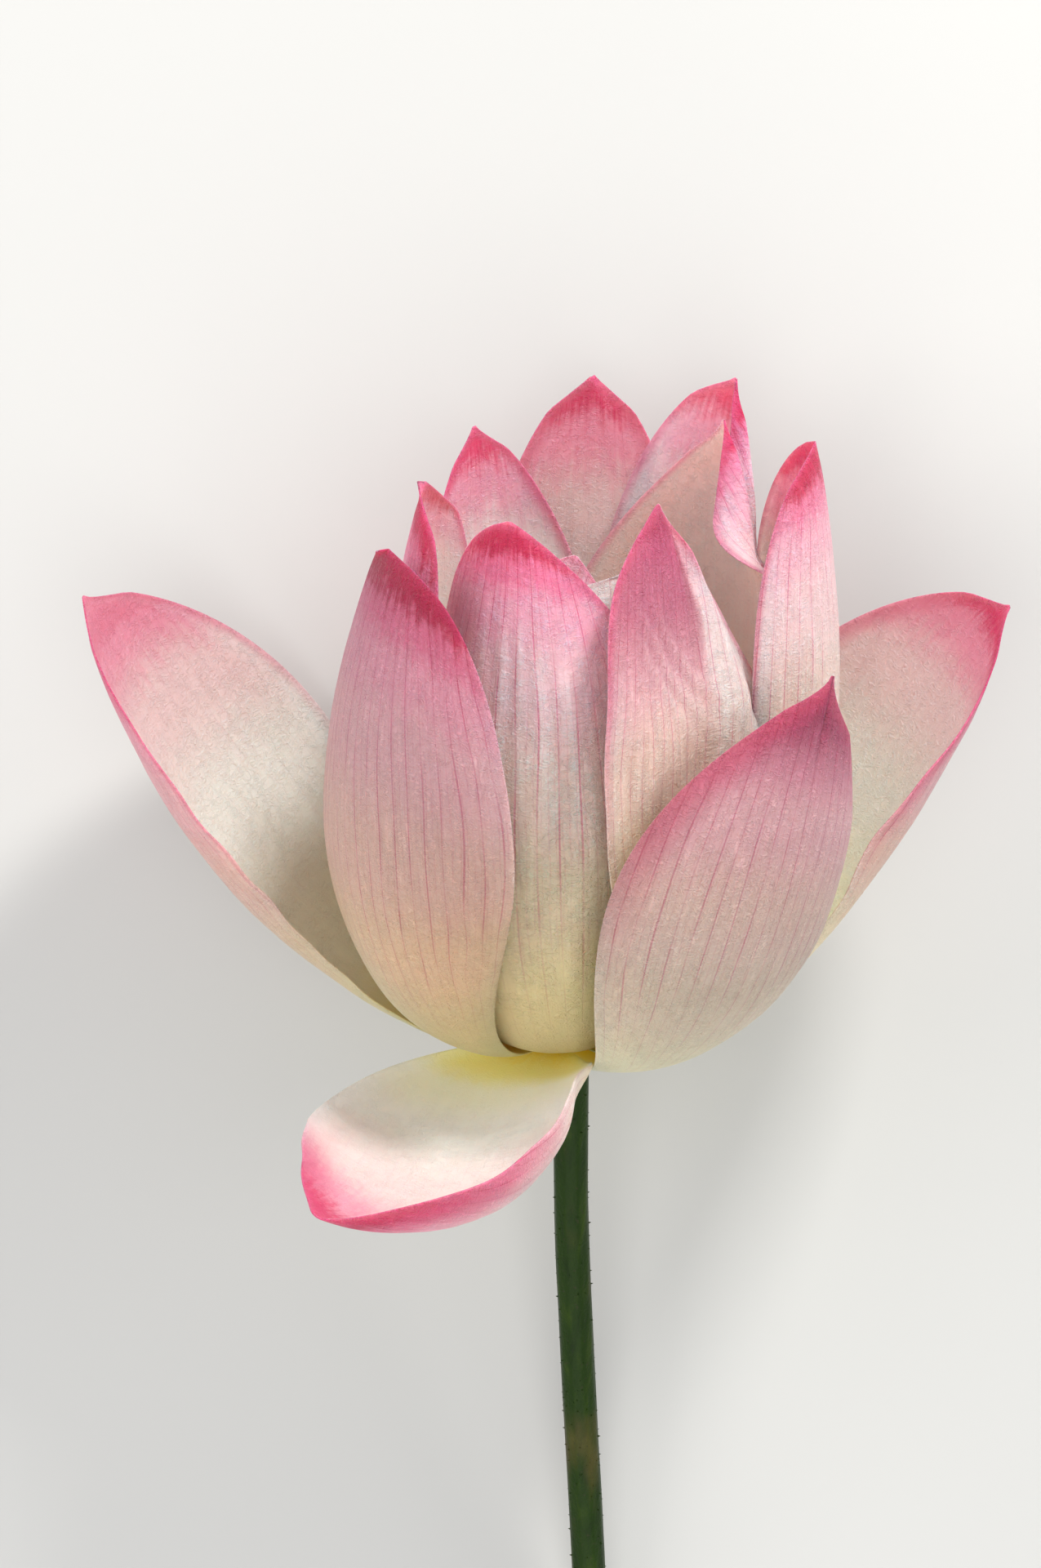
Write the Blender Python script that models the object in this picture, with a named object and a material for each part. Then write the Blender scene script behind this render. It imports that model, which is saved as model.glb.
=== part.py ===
"""Lotus flower, cut with a short stem and laid down on its back petals.

Each petal is a thin cupped blade bent along its own rib. The petals are drawn
upright in the flower's frame, eased apart from the innermost to the outermost,
and then laid down together: +Y runs from the cut end of the stem to the tips,
+Z is up, and the bloom rests on the tip of the stem and on its back petals.
"""

import math
from collections import namedtuple

import bmesh
import bpy
import numpy as np

MM = 0.001

# ---- driving dimensions: millimetres and degrees, in the upright flower's frame ----
# The frame's origin is the foot of the receptacle, +z runs up the flower's axis,
# azimuth 0 faces the front (-y) and 90 faces the right (+x).
LIE_TILT = 14.2  # rise of the flower's axis above the table, once it is laid down
LIE_HEIGHT = 39.6  # height of the receptacle's foot above the table
ORIGIN_X = -5.0  # middle of the laid-down flower's box, across
ORIGIN_Y = -9.3  # and along the axis, both from the receptacle's foot

PETAL_THICK = 1.0
PETAL_ROWS = 14  # grid points from claw to tip
PETAL_COLUMNS = 9  # grid points from margin to margin
CLAW_HALF_WIDTH = 2.5
TIP_HALF_WIDTH = 0.7

CUP_FADE = 0.6  # how slowly the cup flattens towards the narrow ends
ROLL_FROM = 0.4  # share of the half width where a margin starts to roll
ROLL_SPREAD = 0.3  # share of the petal's length over which a roll dies out

HEART_HEIGHT = 45.0  # petals are eased apart along rays from here, and level ones above it
NEST_GAP = 2.3  # between the middles of two petals that overlap
NEST_SLOPE = 0.6  # how fast an inner petal's bulge fades beyond its edge
NEST_REACH = 3.0  # how far beyond its edge it doesn't fade
NEST_CLAW = 0.08  # share of the petal's length over which the easing starts

SEAT_GAP = 0.3  # clearance between pieces that touch
CORE_RADIUS = 6.2  # the receptacle's foot, round which the petals grow
PETAL_SEAT_RADIUS = CORE_RADIUS + SEAT_GAP
PETAL_SEAT_TOP = 10.2  # height of the innermost whorl's claws
PETAL_SEAT_STEP = 2.05  # drop from each whorl to the next one out
CORE_BOTTOM = -5.4

RECEPTACLE_TOP = 38.0
RECEPTACLE_RADIUS = 14.0
STIGMA_RINGS = ((0.0, 1), (5.2, 6), (10.2, 11))  # ring radius, how many
STIGMA_RADIUS = 1.3
STIGMA_HEIGHT = 1.6

COLLAR_BOTTOM = 11.6
COLLAR_TOP = 15.0
COLLAR_THICK = 1.6
STAMEN_COUNT = 64
STAMEN_LENGTH = 24.0
STAMEN_LEANS = (22.0, 29.0, 36.0)
STAMEN_RADIUS = 0.55
STAMEN_STATIONS = ((0.0, 1.0), (0.5, 0.8), (0.66, 1.5), (1.0, 0.9))  # share of length, of radius
STAMEN_ROOT = 1.2  # how deep a stamen is sunk in the collar
STAMEN_CURL = 0.4  # share of its lean that a stamen gains on its way up
STAMEN_SIDES = 3
STAMEN_SEED = 11

STEM_RADIUS = 3.4
STEM_SIDES = 12
STEM_ROUTE = (  # across, forward and along the axis, from the cut end to the flower
    (5.2, -0.6, -150.0),
    (3.6, 0.0, -112.0),
    (1.4, 0.0, -70.0),
    (0.1, 0.0, -38.0),
    (0.0, 0.0, -5.7),
)

# ---- petals, innermost first ----
# low and high are the handles that bend the rib: distance out from the axis and
# height (low counts from the seat); side leans the high handle sideways; cup is the
# half angle that a cross section bends through; rolls bend the two margins further
# in (or out, if negative), most at roll_at along the petal.
Petal = namedtuple(
    "Petal",
    "name azimuth whorl tip low high side width widest point cup twist rolls roll_at",
    defaults=(0, (0, 0), 0.65),
)
PETALS = (
    Petal("petal_heart_left", -28, 0, (1, -17, 102), (32, 0), (33, 70), 0, 30, 0.60, 0.7, 50, 0, (0, 20)),
    Petal("petal_heart_front", 22, 1, (8, -16, 97), (33, 0), (34, 70), 0, 30, 0.60, 0.6, 50, 0, (20, 20)),
    Petal("petal_inner_right", 124, 0, (29, 24, 117), (34, 0), (38, 74), -4, 66, 0.56, 0.95, 48, 6, (30, 0), 0.85),
    Petal("petal_inner_left", -80, 0, (-17, -2, 94), (30, 0), (32, 64), 0, 40, 0.52, 0.7, 55),
    Petal("petal_inner_front", -21, 4, (-12, -31, 113), (40, -4), (34, 66), 1, 57, 0.56, 0.64, 66, 6, (10, 0)),
    Petal("petal_left", -97, 2, (-28, 9, 109), (43, -3), (42, 61), 2, 53, 0.59, 0.4, 65, 0, (-10, 8)),
    Petal("petal_back_left", -152, 3, (-19, 34, 113), (39, -3), (46, 75), -7, 48, 0.50, 0.82, 45, -6),
    Petal("petal_back_right", 140, 2, (31, 32, 122), (40, -1), (46, 97), 7, 46, 0.60, 0.8, 37, 5, (-10, -8)),
    Petal("petal_front_right", 33, 5, (16, -20, 113), (45, -2), (52, 80), -8, 58, 0.68, 0.9, 26, -28, (-15, -20)),
    Petal("petal_right", 83, 4, (45, 1, 119), (47, 1), (60, 54), 1, 60, 0.68, 0.5, 68, -4),
    Petal("petal_back", 178, 4, (4, 45, 120), (38, -2), (52, 79), -1, 48, 0.50, 0.65, 45),
    Petal("petal_front_left", -54, 5, (-34, -25, 106), (43, -4), (68, 44), -4, 76, 0.64, 0.45, 68, 20),
    Petal("petal_outer_right", 33, 6, (47, -32, 84), (48, 5), (66, 23), -1, 65, 0.59, 1.15, 50, -8, (5, 20), 0.75),
    Petal("petal_spread_right", 106, 5, (84, 13, 83), (48, -2), (72, 64), 5, 70, 0.57, 0.95, 52, -16, (22, 0)),
    Petal("petal_hidden_right", 150, 6, (24, 45, 92), (49, -3), (69, 46), 0, 42, 0.56, 0.8, 52),
    Petal("petal_hidden_left", -150, 6, (-22, 45, 90), (49, -3), (69, 46), 0, 42, 0.56, 0.8, 52),
    Petal("petal_spread_left", -108, 7, (-94, 13, 85), (49, 7), (75, 22), 1, 80, 0.59, 0.8, 57, -4, (0, -6)),
    Petal("petal_drooping", -54, 7, (-45, -91, 3), (32, -4), (50, -18), 50, 64, 0.51, 0.7, 62, -15, (-13, 25)),
)

COLOURS = {  # base colour, roughness
    "petal": ((0.86, 0.50, 0.56, 1.0), 0.55),
    "receptacle": ((0.72, 0.68, 0.22, 1.0), 0.60),
    "stamens": ((0.93, 0.76, 0.30, 1.0), 0.65),
    "stem": ((0.13, 0.22, 0.07, 1.0), 0.60),
}


def smooth_step(x):
    x = np.clip(x, 0.0, 1.0)
    return x * x * (3.0 - 2.0 * x)


def running_sum(values):
    """Trapezoid sums of each row, as the share of the row passed."""
    sums = np.cumsum((values[:, 1:] + values[:, :-1]) / 2.0, axis=1)
    return np.hstack([np.zeros((len(values), 1)), sums]) / (values.shape[1] - 1)


def rib_curve(petal, rows, steps=200):
    """Points and tangents along the petal's rib, evenly spaced, and its crosswise direction."""
    azimuth = math.radians(petal.azimuth)
    outward = np.array([math.sin(azimuth), -math.cos(azimuth), 0.0])
    across = np.array([math.cos(azimuth), math.sin(azimuth), 0.0])
    upward = np.array([0.0, 0.0, 1.0])
    seat = PETAL_SEAT_TOP - PETAL_SEAT_STEP * petal.whorl
    start = outward * PETAL_SEAT_RADIUS + upward * seat
    low = outward * petal.low[0] + upward * (seat + petal.low[1])
    high = outward * petal.high[0] + upward * petal.high[1] + across * petal.side
    tip = np.array(petal.tip, dtype=float)
    t = np.linspace(0.0, 1.0, steps + 1)[:, None]
    points = (1 - t) ** 3 * start + 3 * (1 - t) ** 2 * t * low + 3 * (1 - t) * t**2 * high + t**3 * tip
    tangents = (1 - t) ** 2 * (low - start) + 2 * (1 - t) * t * (high - low) + t**2 * (tip - high)
    lengths = np.linalg.norm(np.diff(points, axis=0), axis=1)
    travelled = np.concatenate([[0.0], np.cumsum(lengths)])
    stops = np.linspace(0.0, travelled[-1], rows)
    points = np.stack([np.interp(stops, travelled, points[:, k]) for k in range(3)], axis=-1)
    tangents = np.stack([np.interp(stops, travelled, tangents[:, k]) for k in range(3)], axis=-1)
    tangents /= np.linalg.norm(tangents, axis=1)[:, None]
    return points, tangents, across


def petal_surface(petal, rows, columns, steps=60):
    """The middle surface of one petal, as rows x columns points in millimetres."""
    rib, tangents, across = rib_curve(petal, rows)
    sideways = across - tangents * (tangents @ across)[:, None]
    sideways /= np.linalg.norm(sideways, axis=1)[:, None]
    outward = np.cross(sideways, tangents)
    along = np.linspace(0.0, 1.0, rows)
    twist = np.radians(petal.twist) * smooth_step(along)[:, None]
    sideways, outward = (
        sideways * np.cos(twist) + outward * np.sin(twist),
        outward * np.cos(twist) - sideways * np.sin(twist),
    )

    # half width: a narrow claw, widest part way up, drawn in to a point
    before = petal.point * petal.widest / (1.0 - petal.widest)
    peak = petal.widest**before * (1.0 - petal.widest) ** petal.point
    share = along**before * (1.0 - along) ** petal.point / peak
    half_width = petal.width / 2.0 * share + CLAW_HALF_WIDTH * (1.0 - along) ** 4 + TIP_HALF_WIDTH * along**8

    # the cross section is an arc whose margins may roll further
    cup = np.radians(petal.cup) * np.clip(half_width / (petal.width / 2.0), 0.0, 1.0) ** CUP_FADE
    roll_reach = np.exp(-(((along - petal.roll_at) / ROLL_SPREAD) ** 2))
    across_share = np.linspace(0.0, 1.0, steps + 1)
    surface = np.zeros((rows, columns, 3))
    for column, place in enumerate(np.linspace(-1.0, 1.0, columns)):
        side = -1.0 if place < 0.0 else 1.0
        roll = np.radians(petal.rolls[0] if place < 0.0 else petal.rolls[1]) * roll_reach
        rolled = smooth_step((across_share - ROLL_FROM) / (1.0 - ROLL_FROM))
        bend = cup[:, None] * across_share + roll[:, None] * rolled
        step = abs(place) * steps
        reach = [np.interp(step, range(steps + 1), row) for row in running_sum(np.cos(bend))]
        rise = [np.interp(step, range(steps + 1), row) for row in running_sum(np.sin(bend))]
        crosswise = sideways * (side * half_width * reach)[:, None]
        inward = outward * (half_width * rise)[:, None]
        surface[:, column] = rib + crosswise - inward
    return surface


def spread_and_smooth(push):
    """Widen the pushed area by one grid step, then smooth it, so that no point loses its clearance."""
    padded = np.pad(push, 1, mode="edge")
    shifts = [padded[i : i + push.shape[0], j : j + push.shape[1]] for i in range(3) for j in range(3)]
    padded = np.pad(np.max(shifts, axis=0), 1, mode="edge")
    shifts = [padded[i : i + push.shape[0], j : j + push.shape[1]] for i in range(3) for j in range(3)]
    return np.maximum(push, np.mean(shifts, axis=0))


def rays_from_heart(points):
    """Where each point's ray starts on the flower's axis, its direction and its length."""
    starts = np.maximum(points[..., 2], HEART_HEIGHT)
    offsets = points.copy()
    offsets[..., 2] -= starts
    lengths = np.linalg.norm(offsets, axis=-1)
    return starts, offsets / lengths[..., None], lengths


def nested_surfaces():
    """Every petal's middle surface, each eased outward until it clears the petals inside it."""
    inner = np.zeros((0, 3))
    surfaces = []
    for petal in PETALS:
        surface = petal_surface(petal, PETAL_ROWS, PETAL_COLUMNS)
        starts, rays, lengths = rays_from_heart(surface.reshape(-1, 3))
        inner_starts, inner_rays, inner_lengths = rays_from_heart(inner)
        if len(inner):
            angle = np.arccos(np.clip(rays @ inner_rays.T, -1.0, 1.0))
            apart = np.hypot(angle * inner_lengths, starts[:, None] - inner_starts)
            fade = NEST_SLOPE * np.maximum(0.0, apart - NEST_REACH)
            needed = (inner_lengths + NEST_GAP - fade).max(axis=1)
            push = np.maximum(0.0, needed - lengths).reshape(PETAL_ROWS, PETAL_COLUMNS)
            push = spread_and_smooth(push)
            push *= smooth_step(np.linspace(0.0, 1.0, PETAL_ROWS) / NEST_CLAW)[:, None]
            surface = surface + rays.reshape(surface.shape) * push[..., None]
        surfaces.append(surface)
        middles = (surface[:-1, :-1] + surface[1:, :-1] + surface[:-1, 1:] + surface[1:, 1:]) / 4.0
        inner = np.concatenate([inner, surface.reshape(-1, 3), middles.reshape(-1, 3)])
    return surfaces


def lay_down(points):
    """Turn upright flower coordinates in millimetres into laid-down coordinates in metres."""
    tilt = math.radians(LIE_TILT)
    x, y, z = np.moveaxis(np.asarray(points, dtype=float), -1, 0)
    laid = np.stack(
        [
            x - ORIGIN_X,
            y * math.sin(tilt) + z * math.cos(tilt) - ORIGIN_Y,
            z * math.sin(tilt) - y * math.cos(tilt) + LIE_HEIGHT,
        ],
        axis=-1,
    )
    return laid * MM


def new_material(slot):
    colour, roughness = COLOURS[slot]
    material = bpy.data.materials.new(slot)
    material.diffuse_color = colour
    material.use_nodes = True
    shader = material.node_tree.nodes["Principled BSDF"]
    shader.inputs["Base Color"].default_value = colour
    shader.inputs["Roughness"].default_value = roughness
    shader.inputs["Metallic"].default_value = 0.0
    return material


def new_object(name, mesh_builder, material):
    mesh = bpy.data.meshes.new(name)
    mesh_builder.normal_update()
    mesh_builder.to_mesh(mesh)
    mesh_builder.free()
    mesh.materials.append(material)
    mesh.shade_smooth()
    piece = bpy.data.objects.new(name, mesh)
    bpy.context.scene.collection.objects.link(piece)
    return piece


def make_petal(name, surface, material):
    """A thin blade: one sheet split into triangles, then given its thickness on both faces alike."""
    rows, columns = surface.shape[:2]
    builder = bmesh.new()
    bmesh.ops.create_grid(builder, x_segments=columns - 1, y_segments=rows - 1, size=1.0)
    laid = lay_down(surface)
    laid[..., 2] = np.maximum(laid[..., 2], PETAL_THICK / 2.0 * MM)  # pressed flat where it lies on the table
    for vertex in builder.verts:
        column = round((vertex.co.x + 1.0) / 2.0 * (columns - 1))
        row = round((vertex.co.y + 1.0) / 2.0 * (rows - 1))
        vertex.co = laid[row, column]
    bmesh.ops.triangulate(builder, faces=builder.faces, quad_method="FIXED")
    petal = new_object(name, builder, material)
    thickness = petal.modifiers.new("thickness", "SOLIDIFY")
    thickness.thickness = PETAL_THICK * MM
    thickness.offset = 0.0
    return petal


def turned(builder, profile, sides):
    """Spin a profile of (radius, height) points about the flower's axis into a closed body."""
    verts = [builder.verts.new((radius, 0.0, height)) for radius, height in profile]
    edges = [builder.edges.new(pair) for pair in zip(verts[:-1], verts[1:])]
    bmesh.ops.spin(
        builder,
        geom=verts + edges,
        cent=(0, 0, 0),
        axis=(0, 0, 1),
        dvec=(0, 0, 0),
        angle=2.0 * math.pi,
        steps=sides,
        use_merge=True,
    )
    bmesh.ops.remove_doubles(builder, verts=builder.verts, dist=0.001)


def lay_builder(builder):
    for vertex in builder.verts:
        vertex.co = lay_down(vertex.co)
    bmesh.ops.recalc_face_normals(builder, faces=builder.faces)


def fuse(pieces, name, material):
    """Join overlapping closed pieces into the one solid of a node."""
    collection = bpy.data.collections.new(name)
    bpy.context.scene.collection.children.link(collection)
    body, others = pieces[0], pieces[1:]
    for other in others:
        bpy.context.scene.collection.objects.unlink(other)
        collection.objects.link(other)
    union = body.modifiers.new("union", "BOOLEAN")
    union.operation = "UNION"
    union.solver = "MANIFOLD"
    union.operand_type = "COLLECTION"
    union.collection = collection
    evaluated = body.evaluated_get(bpy.context.evaluated_depsgraph_get())
    mesh = bpy.data.meshes.new_from_object(evaluated)
    body.modifiers.clear()
    body.data = mesh
    mesh.materials.clear()
    mesh.materials.append(material)
    body.name = name
    for other in others:
        bpy.data.objects.remove(other)
    bpy.data.collections.remove(collection)
    return body


def make_receptacle(material):
    """The cone that the petals grow round, with a rounded rim and a stigma on each seed chamber."""
    profile = (
        (0.0, CORE_BOTTOM),
        (CORE_RADIUS, CORE_BOTTOM),
        (CORE_RADIUS, COLLAR_TOP + 1.0),
        (RECEPTACLE_RADIUS * 0.60, RECEPTACLE_TOP * 0.66),
        (RECEPTACLE_RADIUS * 0.90, RECEPTACLE_TOP - 5.0),
        (RECEPTACLE_RADIUS, RECEPTACLE_TOP - 2.0),
        (RECEPTACLE_RADIUS * 0.94, RECEPTACLE_TOP - 0.3),
        (RECEPTACLE_RADIUS * 0.85, RECEPTACLE_TOP),
        (0.0, RECEPTACLE_TOP),
    )
    builder = bmesh.new()
    turned(builder, profile, 24)
    lay_builder(builder)
    pieces = [new_object("receptacle", builder, material)]
    for ring_radius, count in STIGMA_RINGS:
        for index in range(count):
            turn = 2.0 * math.pi * index / count
            builder = bmesh.new()
            bmesh.ops.create_icosphere(builder, subdivisions=1, radius=STIGMA_RADIUS)
            bmesh.ops.scale(builder, vec=(1, 1, STIGMA_HEIGHT / STIGMA_RADIUS), verts=builder.verts)
            place = (ring_radius * math.cos(turn), ring_radius * math.sin(turn), RECEPTACLE_TOP + 0.2)
            bmesh.ops.translate(builder, vec=place, verts=builder.verts)
            lay_builder(builder)
            pieces.append(new_object("stigma", builder, material))
    return fuse(pieces, "receptacle", material)


def make_stamen(turn, lean, length, material):
    """One bent stamen whose root is sunk in the collar and whose anther is its thicker end."""
    root = CORE_RADIUS + SEAT_GAP + COLLAR_THICK / 2.0
    builder = bmesh.new()
    rings = []
    for share, girth in STAMEN_STATIONS:
        out = root + length * share * math.sin(lean) * (1.0 - STAMEN_CURL * (1.0 - share))
        height = COLLAR_TOP - STAMEN_ROOT + length * share * math.cos(lean)
        ring = []
        for corner in range(STAMEN_SIDES):
            angle = 2.0 * math.pi * corner / STAMEN_SIDES
            radius = out + STAMEN_RADIUS * girth * math.cos(angle)
            across = STAMEN_RADIUS * girth * math.sin(angle)
            x = radius * math.cos(turn) - across * math.sin(turn)
            y = radius * math.sin(turn) + across * math.cos(turn)
            ring.append(builder.verts.new((x, y, height)))
        rings.append(ring)
    for lower, upper in zip(rings[:-1], rings[1:]):
        for corner in range(STAMEN_SIDES):
            following = (corner + 1) % STAMEN_SIDES
            builder.faces.new((lower[corner], lower[following], upper[following], upper[corner]))
    builder.faces.new(rings[0][::-1])
    builder.faces.new(rings[-1])
    lay_builder(builder)
    return new_object("stamen", builder, material)


def make_stamens(material):
    """A collar round the receptacle with its stamens standing out of it in three whorls."""
    rng = np.random.default_rng(STAMEN_SEED)
    inner = CORE_RADIUS + SEAT_GAP
    outer = inner + COLLAR_THICK
    profile = ((inner, COLLAR_BOTTOM), (outer, COLLAR_BOTTOM), (outer, COLLAR_TOP), (inner, COLLAR_TOP))
    builder = bmesh.new()
    turned(builder, profile + profile[:1], 32)
    lay_builder(builder)
    pieces = [new_object("collar", builder, material)]
    for index in range(STAMEN_COUNT):
        turn = 2.0 * math.pi * (index + rng.uniform(-0.12, 0.12)) / STAMEN_COUNT
        lean = math.radians(STAMEN_LEANS[index % len(STAMEN_LEANS)] + rng.uniform(-2.5, 2.5))
        length = STAMEN_LENGTH * rng.uniform(0.9, 1.05)
        pieces.append(make_stamen(turn, lean, length, material))
    return fuse(pieces, "stamens", material)


def make_stem(material):
    """A long round stem that bends a little, cut square at its lower end."""
    curve = bpy.data.curves.new("stem", "CURVE")
    curve.dimensions = "3D"
    curve.resolution_u = 4
    curve.bevel_depth = STEM_RADIUS * MM
    curve.bevel_resolution = (STEM_SIDES - 4) // 2
    curve.use_fill_caps = True
    spline = curve.splines.new("BEZIER")
    spline.bezier_points.add(len(STEM_ROUTE) - 1)
    for point, place in zip(spline.bezier_points, lay_down(STEM_ROUTE)):
        point.co = place
        point.handle_left_type = "AUTO"
        point.handle_right_type = "AUTO"
    curve.materials.append(material)
    stem = bpy.data.objects.new("stem", curve)
    bpy.context.scene.collection.objects.link(stem)
    return stem


def main():
    for old in list(bpy.data.objects):
        bpy.data.objects.remove(old)
    materials = {slot: new_material(slot) for slot in COLOURS}
    flower = bpy.data.objects.new("lotus_flower", None)
    bpy.context.scene.collection.objects.link(flower)
    pieces = [
        make_stem(materials["stem"]),
        make_receptacle(materials["receptacle"]),
        make_stamens(materials["stamens"]),
    ]
    for petal, surface in zip(PETALS, nested_surfaces()):
        pieces.append(make_petal(petal.name, surface, materials["petal"]))
    for piece in pieces:
        piece.parent = flower


main()
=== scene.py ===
import math

import bmesh
import bpy
import numpy as np
from mathutils import Matrix, Vector, noise


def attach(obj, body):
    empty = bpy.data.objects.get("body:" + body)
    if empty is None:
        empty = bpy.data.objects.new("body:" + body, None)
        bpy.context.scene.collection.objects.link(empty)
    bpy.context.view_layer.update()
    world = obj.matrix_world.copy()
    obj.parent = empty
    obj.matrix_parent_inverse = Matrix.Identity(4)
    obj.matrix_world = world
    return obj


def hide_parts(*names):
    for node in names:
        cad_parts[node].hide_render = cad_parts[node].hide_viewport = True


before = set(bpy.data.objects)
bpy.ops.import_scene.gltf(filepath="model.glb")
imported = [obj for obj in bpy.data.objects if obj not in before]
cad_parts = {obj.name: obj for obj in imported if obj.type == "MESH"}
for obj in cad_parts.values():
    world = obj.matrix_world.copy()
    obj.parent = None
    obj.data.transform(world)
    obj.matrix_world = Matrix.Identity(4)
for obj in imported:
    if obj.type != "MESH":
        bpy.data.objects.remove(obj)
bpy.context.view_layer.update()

print("frame loaded:", len(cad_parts), "nodes")

# the flower is shaped upright in millimetres, round its own axis, and then laid down in metres:
# its frame starts at the foot of the receptacle, z runs up the axis and the front faces -y
lying = {"tilt": 14.2, "height": 39.6, "across": -5.0, "along": -9.3, "scale": 0.001}


def layDown(points):
    tilt = math.radians(lying["tilt"])
    x, y, z = np.moveaxis(np.asarray(points, dtype=float), -1, 0)
    laid = [
        x - lying["across"],
        y * math.sin(tilt) + z * math.cos(tilt) - lying["along"],
        z * math.sin(tilt) - y * math.cos(tilt) + lying["height"],
    ]
    return np.stack(laid, axis=-1) * lying["scale"]


def smoothStep(x):
    x = np.clip(x, 0.0, 1.0)
    return x * x * (3.0 - 2.0 * x)


def layMesh(mesh):  # a bmesh drawn upright in millimetres goes to its place
    for vertex in mesh.verts:
        vertex.co = layDown(vertex.co)
    bmesh.ops.recalc_face_normals(mesh, faces=mesh.faces)


def placeInScene(name, data):
    made = bpy.data.objects.new(name, data)
    bpy.context.scene.collection.objects.link(made)
    return made


def spinProfile(mesh, profile, steps, closed=False):  # radius and height pairs, turned round the axis
    verts = [mesh.verts.new((radius, 0.0, height)) for radius, height in profile]
    pairs = zip(verts, verts[1:] + verts[:1]) if closed else zip(verts[:-1], verts[1:])
    edges = [mesh.edges.new(pair) for pair in pairs]
    bmesh.ops.spin(mesh, geom=verts + edges, cent=(0, 0, 0), axis=(0, 0, 1), dvec=(0, 0, 0),
                   angle=2.0 * math.pi, steps=steps, use_merge=True)
    bmesh.ops.remove_doubles(mesh, verts=mesh.verts, dist=0.001)


def ringSpots(centre, ring, count, start=0.0):  # places spaced evenly round a ring
    x, y, z = centre
    for index in range(count):
        turn = 2.0 * math.pi * (index + start) / count
        yield Vector((x + ring * math.cos(turn), y + ring * math.sin(turn), z))


def openEdges(mesh):
    return [edge for edge in mesh.edges if edge.is_boundary]


def meshData(name, mesh, materials):
    data = bpy.data.meshes.new(name)
    mesh.to_mesh(data)
    mesh.free()
    for material in materials:
        data.materials.append(material)
    return data


def finishPiece(name, mesh, materials, node):
    data = meshData(name, mesh, materials)
    data.shade_smooth()
    piece = placeInScene(name, data)
    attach(piece, "root")
    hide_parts(node)
    return piece


# helpers for the node trees
def addNode(tree, kind, **settings):
    made = tree.nodes.new(kind)
    for key, value in settings.items():
        setattr(made, key, value)
    return made


def setInputs(node, values):
    for label, value in values.items():
        node.inputs[label].default_value = value


def fill(tree, socket, value):
    if isinstance(value, bpy.types.NodeSocket):
        tree.links.new(value, socket)
    elif value is not None:
        socket.default_value = value


def sums(tree, operation, *values, clamp=False):
    made = addNode(tree, "ShaderNodeMath", operation=operation, use_clamp=clamp)
    for socket, value in zip(made.inputs, values):
        fill(tree, socket, value)
    return made.outputs[0]


def product(tree, first, second, clamp=False):
    return sums(tree, "MULTIPLY", first, second, clamp=clamp)


def ranged(tree, value, low, high, toLow=0.0, toHigh=1.0):
    made = addNode(tree, "ShaderNodeMapRange", interpolation_type="SMOOTHSTEP")
    for socket, number in zip(made.inputs, (value, low, high, toLow, toHigh)):
        fill(tree, socket, number)
    return made.outputs[0]


def mixed(tree, share, first, second, blend="MIX"):
    made = addNode(tree, "ShaderNodeMix", data_type="RGBA", blend_type=blend)
    fill(tree, made.inputs[0], share)
    fill(tree, made.inputs[6], first)
    fill(tree, made.inputs[7], second)
    return made.outputs[2]


def noised(tree, vector, scale, detail=2.0, roughness=0.5, distortion=0.0):
    made = addNode(tree, "ShaderNodeTexNoise")
    fill(tree, made.inputs["Vector"], vector)
    setInputs(made, dict(Scale=scale, Detail=detail, Roughness=roughness, Distortion=distortion))
    return made.outputs["Fac"]


def vectorMath(tree, operation, vector, other, slot=1):
    made = addNode(tree, "ShaderNodeVectorMath", operation=operation)
    fill(tree, made.inputs[0], vector)
    fill(tree, made.inputs[slot], other)
    return made.outputs[0]


def stretched(tree, vector, stretch):
    return vectorMath(tree, "MULTIPLY", vector, stretch)


def split(tree, vector):
    made = addNode(tree, "ShaderNodeSeparateXYZ")
    fill(tree, made.inputs[0], vector)
    return made.outputs


def combined(tree, x, xScale, y, yScale, z=0.0):
    parts = (product(tree, x, xScale), product(tree, y, yScale), z)
    made = addNode(tree, "ShaderNodeCombineXYZ")
    for socket, value in zip(made.inputs, parts):
        fill(tree, socket, value)
    return made.outputs[0]


def ramp(tree, value, stops):
    made = addNode(tree, "ShaderNodeValToRGB")
    made.color_ramp.interpolation = "EASE"
    while len(made.color_ramp.elements) < len(stops):
        made.color_ramp.elements.new(0.5)
    for element, (place, colour) in zip(made.color_ramp.elements, stops):
        element.position = place
        element.color = (*colour, 1.0)
    fill(tree, made.inputs[0], value)
    return made.outputs[0]


def attribute(tree, name):
    made = addNode(tree, "ShaderNodeAttribute", attribute_type="GEOMETRY", attribute_name=name)
    return made.outputs["Vector"]


def newGroup(name, inputs, outputs):
    tree = bpy.data.node_groups.new(name, "ShaderNodeTree")
    for way, sockets in (("INPUT", inputs), ("OUTPUT", outputs)):
        for label, kind in sockets.items():
            tree.interface.new_socket(label, in_out=way, socket_type="NodeSocket" + kind)
    entry = tree.nodes.new("NodeGroupInput")
    end = tree.nodes.new("NodeGroupOutput")
    return tree, entry.outputs, end.inputs


def useGroup(tree, group, **values):
    made = addNode(tree, "ShaderNodeGroup", node_tree=group)
    for label, value in values.items():
        fill(tree, made.inputs[label], value)
    return made.outputs


def newMaterial(name, roughness):
    material = bpy.data.materials.new(name)
    material.use_nodes = True
    tree = material.node_tree
    shader = tree.nodes["Principled BSDF"]
    setInputs(shader, {"Roughness": roughness, "Metallic": 0.0})
    return material, tree, shader


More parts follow.
